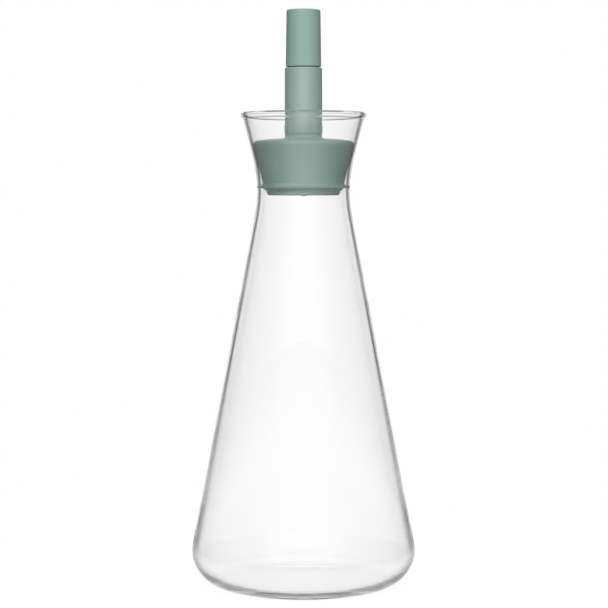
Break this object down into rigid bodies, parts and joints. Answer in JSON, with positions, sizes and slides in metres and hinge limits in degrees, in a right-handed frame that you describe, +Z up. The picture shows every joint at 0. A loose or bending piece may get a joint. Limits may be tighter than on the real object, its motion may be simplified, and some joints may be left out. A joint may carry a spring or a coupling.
{
  "type": "oil dispenser bottle",
  "caption": "Conical clear glass oil bottle with a flared mouth, closed by a soft green pouring stopper whose slim spout wears a pull-off cap.",
  "frame": {"origin": "centre of the flask's standing ring, on the surface that the bottle stands on", "axes": "+Z up along the bottle's axis, -Y towards the viewer of the picture, +X to the viewer's right"},
  "size_m": [0.0808, 0.0808, 0.2076],
  "materials": {
    "clear_glass": "clear polished blown glass",
    "soft_mint": "matte moulded silicone, muted mint green",
    "hard_mint": "satin moulded plastic, muted mint green",
    "foot_mint": "satin moulded plastic, greyer mint green",
    "pale_silicone": "translucent white silicone",
    "polished_steel": "drawn stainless steel tube"
  },
  "bodies": {
    "flask": {"glass_flask": "clear_glass"},
    "stopper": {"stopper_plug": "soft_mint", "clamp_foot": "foot_mint", "pour_tube": "hard_mint", "spout_sleeve": "hard_mint", "nozzle_ring": "pale_silicone", "air_tube": "polished_steel"},
    "cap": {"spout_cap": "hard_mint", "cap_liner": "pale_silicone"}
  },
  "joints": [
    {"name": "stopper_lift", "type": "slide", "parent": "flask", "child": "stopper", "axis": [0, 0, 1], "range_m": [0, 0.045]},
    {"name": "cap_pull", "type": "slide", "parent": "stopper", "child": "cap", "axis": [0, 0, 1], "range_m": [0, 0.022]}
  ]
}
